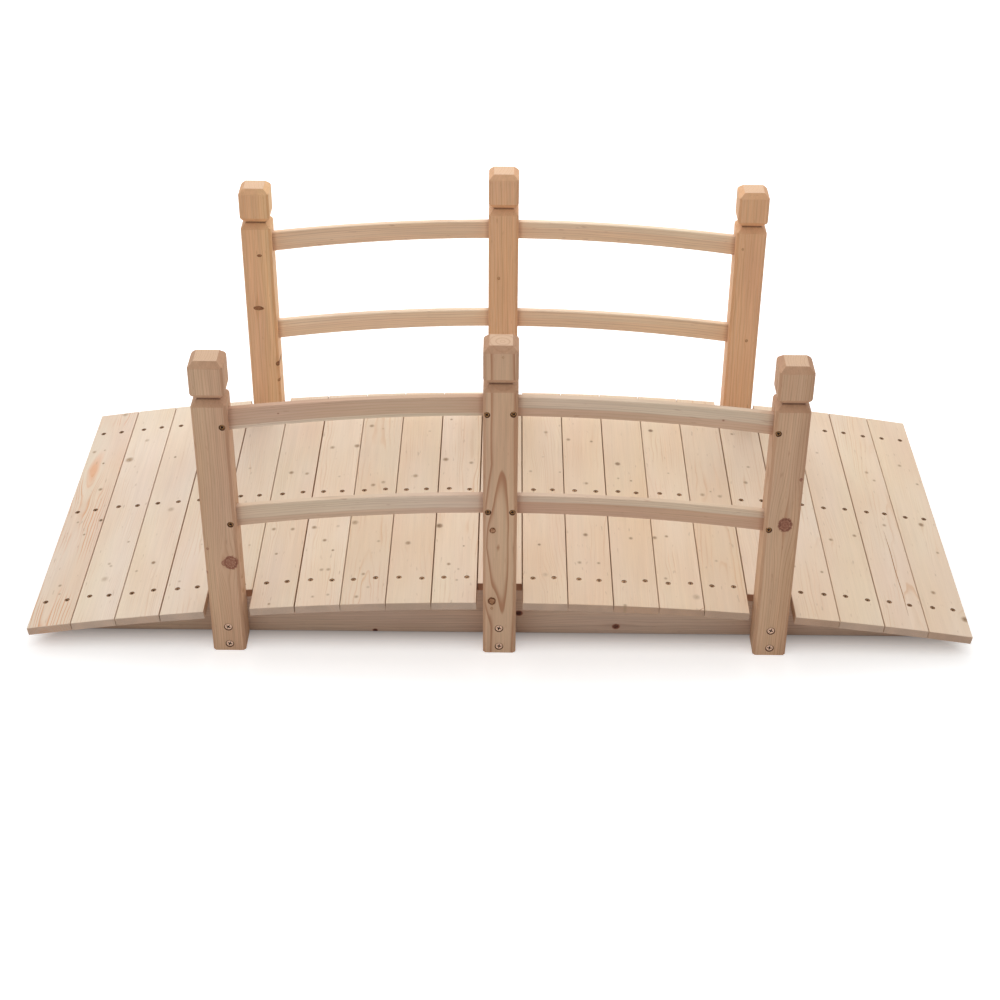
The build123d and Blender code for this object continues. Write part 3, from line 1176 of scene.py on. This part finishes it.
class BRIDGE_OT_rails(bpy.types.Operator):
    """Give the eight rails their two-toned wood"""

    bl_idname = "bridge.rails"
    bl_label = "Finish rails"

    def execute(self, context):
        tones = timber()
        for index, (key, (edge, soft, above, below)) in enumerate(RAIL_TONES.items()):
            side, bay, level = key.split("_")
            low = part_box(f"rail_{key}")[0]
            middle_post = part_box(f"post_{side}_middle")
            end_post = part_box(f"post_{side}_{bay}")
            first, last = (end_post, middle_post) if bay == "left" else (middle_post, end_post)
            pale = tones.rail_pale if side == "near" else tones.far_rail_pale
            red = tones.rail_red if side == "near" else tones.far_rail_red
            pith = RAIL_PITH + RAIL_PITH_STEP * index
            material = wood_material(
                f"rail_wood_{key}",
                (Vector((0, low.y, RAIL_Z[level])), UP, RIGHT, NEAR),
                (-pith, 8, 0.0, 0.0, 4.2, 0.5),
                RAIL_KNOTS.get(key, []),
                seed=80.0 + index * 2.3,
                wander=4.0,
                bow=0.5 / RAIL_RADIUS,
                pale=between(pale, red, above),
                heart=between(pale, red, below),
                heart_edge=(pith + edge) * MM,
                heart_soft=soft * MM,
                ring=tones.rail_ring,
                knot_edge=tones.post_knot,
                knot_heart=tones.post_knot_dark,
                end_tint=tones.plank_end,
                streaks=0.34,
                bevels=0.0,
                # Painted shade darkens the rail towards these ends, where it goes into its posts.
                first_end=first[1].x,
                last_end=last[0].x,
            )
            dress(f"rail_{key}", material, tones.post_round)
        return {"FINISHED"}


class BRIDGE_OT_deck_screws(bpy.types.Operator):
    """Put the screws that hold the planks on the beams"""

    bl_idname = "bridge.deck_screws"
    bl_label = "Deck screws"

    def execute(self, context):
        draw = random.Random(3)
        places = deck_screw_places()
        for row, name in enumerate(("near", "middle", "far")):
            spots = [(place, up) for number, owner_row, place, up in places if owner_row == row]
            drive_screws(f"deck_screws_{name}", spots, "deck", draw, screws().deck_metal, 0.6)
        return {"FINISHED"}


class BRIDGE_OT_post_screws(bpy.types.Operator):
    """Put the screws in the posts: two in each foot, and one at each rail end"""

    bl_idname = "bridge.post_screws"
    bl_label = "Post screws"

    def execute(self, context):
        draw = random.Random(5)
        places = post_screw_places()
        for kind, tone in (("foot", screws().foot_metal), ("rail", screws().post_metal)):
            spots = [(place, out) for post, place, out, use in places if use == kind]
            drive_screws(f"{kind}_screws", spots, kind, draw, tone, 0.3)
        return {"FINISHED"}


class BRIDGE_OT_stage(bpy.types.Operator):
    """Add the pale floor, the soft lamps, the white room and the camera"""

    bl_idname = "bridge.stage"
    bl_label = "Stage"

    def execute(self, context):
        stage = context.scene.bridge_stage
        self.add_floor(stage)
        self.add_room(context, stage)
        self.add_ceiling(context, stage)
        self.add_lamp(context, stage.key_power, *KEY_LAMP)
        self.add_lamp(context, stage.fill_power, *FILL_LAMP)
        self.add_camera(context)
        return {"FINISHED"}

    def seen_directly(self, tree):
        """1 where the camera looks, also by way of a reflection, and 0 for lighting."""
        path = add_node(tree, "ShaderNodeLightPath").outputs
        seen = calc(tree, "MAXIMUM", path["Is Camera Ray"], path["Is Glossy Ray"])
        return calc(tree, "MAXIMUM", seen, path["Is Transmission Ray"])

    def add_floor(self, stage):
        """A wide round floor that stays white to the camera, keeps the shadow and has painted shade
        under the deck.
        """
        mesh = bmesh.new()
        bmesh.ops.create_circle(mesh, cap_ends=True, radius=FLOOR_RADIUS, segments=96)
        floor = mesh_object("floor", mesh)
        material, tree = new_material("studio_floor")
        here = in_piece(tree)
        mottle = noise(tree, here, 2.0, 2.0)[0]
        soft = dimmed(stage.floor_colour, 0.99)
        tone = blend_colours(tree, mottle, linear(soft), linear(stage.floor_colour))
        spot = add_node(tree, "ShaderNodeSeparateXYZ", {0: here}).outputs
        past_end = ramp(tree, calc(tree, "ABSOLUTE", spot["X"]), *SHADE_END_X)
        past_side = ramp(tree, calc(tree, "ABSOLUTE", spot["Y"]), *SHADE_END_Y)
        outside = calc(tree, "MAXIMUM", past_end, past_side)
        # Painted shade: inside the deck's outline the floor takes the dark under-deck colour.
        tone = blend_colours(tree, outside, linear(stage.under_colour), tone)
        paper = add_node(tree, "ShaderNodeBsdfDiffuse", {"Color": tone}).outputs[0]
        glow = times(tree, self.seen_directly(tree), outside)
        glow = times(tree, glow, stage.floor_glow)
        light = add_node(tree, "ShaderNodeEmission", {"Strength": glow}).outputs[0]
        surface = add_node(tree, "ShaderNodeAddShader", {0: paper, 1: light}).outputs[0]
        add_node(tree, "ShaderNodeOutputMaterial", {"Surface": surface})
        floor.data.materials.append(material)

    def add_room(self, context, stage):
        """Even light all round, which the camera sees as white."""
        world = bpy.data.worlds.new("Studio")
        world.use_nodes = True
        tree = world.node_tree
        tree.nodes.clear()
        strength = ramp(tree, self.seen_directly(tree), 0.0, 1.0, stage.room_light, 1.0)
        values = {"Color": (1.0, 1.0, 1.0, 1.0), "Strength": strength}
        room = add_node(tree, "ShaderNodeBackground", values).outputs[0]
        add_node(tree, "ShaderNodeOutputWorld", {"Surface": room})
        context.scene.world = world

    def add_ceiling(self, context, stage):
        """A wide soft light from above that reaches the whole floor alike."""
        lamp = bpy.data.lights.new("Ceiling", "SUN")
        lamp.energy = stage.even_light
        lamp.angle = math.radians(CEILING_SPREAD)
        holder = bpy.data.objects.new("Ceiling", lamp)
        holder.rotation_euler = [math.radians(turn) for turn in CEILING_TURN]
        context.scene.collection.objects.link(holder)

    def add_lamp(self, context, power, name, size, place):
        """A square softbox aimed at the bridge."""
        lamp = bpy.data.lights.new(name, "AREA")
        lamp.shape = "SQUARE"
        lamp.size = size
        lamp.energy = power
        holder = bpy.data.objects.new(name, lamp)
        holder.location = place
        aim = Vector(LAMP_AIM) - Vector(place)
        holder.rotation_euler = aim.to_track_quat("-Z", "Y").to_euler()
        context.scene.collection.objects.link(holder)

    def add_camera(self, context):
        """The photograph's view: from above the near side, a little right of the middle."""
        yaw = math.radians(CAMERA_YAW)
        pitch = math.radians(CAMERA_PITCH)
        roll = math.radians(CAMERA_ROLL)
        ahead = Vector(
            (math.sin(yaw) * math.cos(pitch), math.cos(yaw) * math.cos(pitch), math.sin(pitch))
        )
        level = Vector((math.cos(yaw), -math.sin(yaw), 0))
        above = level.cross(ahead)
        right = level * math.cos(roll) + above * math.sin(roll)
        top = above * math.cos(roll) - level * math.sin(roll)
        turn = Matrix((right, top, -ahead)).transposed().to_4x4()
        lens = bpy.data.cameras.new("Camera")
        lens.sensor_fit = "HORIZONTAL"
        lens.sensor_width = CAMERA_SENSOR
        lens.lens = CAMERA_LENS
        lens.clip_end = 100.0
        camera = bpy.data.objects.new("Camera", lens)
        camera.matrix_world = Matrix.Translation(CAMERA_PLACE) @ turn
        context.scene.collection.objects.link(camera)
        context.scene.camera = camera
        context.scene.view_settings.view_transform = "Standard"


class BRIDGE_PT_panel(bpy.types.Panel):
    """Lists the bridge's settings and steps in the sidebar"""

    bl_idname = "BRIDGE_PT_panel"
    bl_label = "Garden bridge"
    bl_space_type = "VIEW_3D"
    bl_region_type = "UI"
    bl_category = "Bridge"

    def draw(self, context):
        scene = context.scene
        for settings in (scene.bridge_timber, scene.bridge_screws, scene.bridge_stage):
            column = self.layout.column()
            for name in settings.__annotations__:
                column.prop(settings, name)
        for operator in OPERATORS:
            self.layout.operator(operator.bl_idname)


OPERATORS = (
    BRIDGE_OT_planks,
    BRIDGE_OT_beams,
    BRIDGE_OT_posts,
    BRIDGE_OT_rails,
    BRIDGE_OT_deck_screws,
    BRIDGE_OT_post_screws,
    BRIDGE_OT_stage,
)
CLASSES = (BridgeTimber, BridgeScrews, BridgeStage, *OPERATORS, BRIDGE_PT_panel)


def register():
    for item in CLASSES:
        bpy.utils.register_class(item)
    bpy.types.Scene.bridge_timber = bpy.props.PointerProperty(type=BridgeTimber)
    bpy.types.Scene.bridge_screws = bpy.props.PointerProperty(type=BridgeScrews)
    bpy.types.Scene.bridge_stage = bpy.props.PointerProperty(type=BridgeStage)


def unregister():
    del bpy.types.Scene.bridge_stage
    del bpy.types.Scene.bridge_screws
    del bpy.types.Scene.bridge_timber
    for item in reversed(CLASSES):
        bpy.utils.unregister_class(item)


def main():
    register()
    bpy.ops.bridge.planks()
    bpy.ops.bridge.beams()
    bpy.ops.bridge.posts()
    bpy.ops.bridge.rails()
    bpy.ops.bridge.deck_screws()
    bpy.ops.bridge.post_screws()
    bpy.ops.bridge.stage()


if __name__ == "__main__":
    main()
